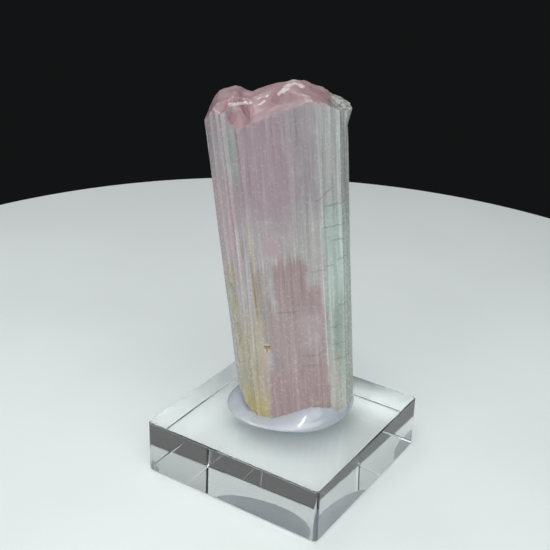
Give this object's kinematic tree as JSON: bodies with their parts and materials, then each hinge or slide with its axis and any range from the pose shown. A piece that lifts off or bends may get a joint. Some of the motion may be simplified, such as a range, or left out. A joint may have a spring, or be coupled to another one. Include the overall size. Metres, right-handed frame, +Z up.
{
  "type": "mounted tourmaline crystal",
  "caption": "Broken prism of pink and green tourmaline, striated lengthwise, glued upright and leaning on a clear square acrylic block.",
  "frame": {"origin": "centre of the acrylic block's underside, where the piece stands on a surface", "axes": "+Z up, X and Y along the block's edges; the crystal's broad face looks 33 degrees from -Y towards +X"},
  "size_m": [0.035, 0.035, 0.0691],
  "materials": {
    "tourmaline": "vitreous, milky see-through, lengthwise striations, pink with a green edge zone and ochre stains",
    "glue": "glossy, milky, bluish white",
    "acrylic": "clear and polished"
  },
  "bodies": {
    "root": {"acrylic_block": "acrylic", "crystal": "tourmaline", "glue": "glue"}
  },
  "joints": []
}
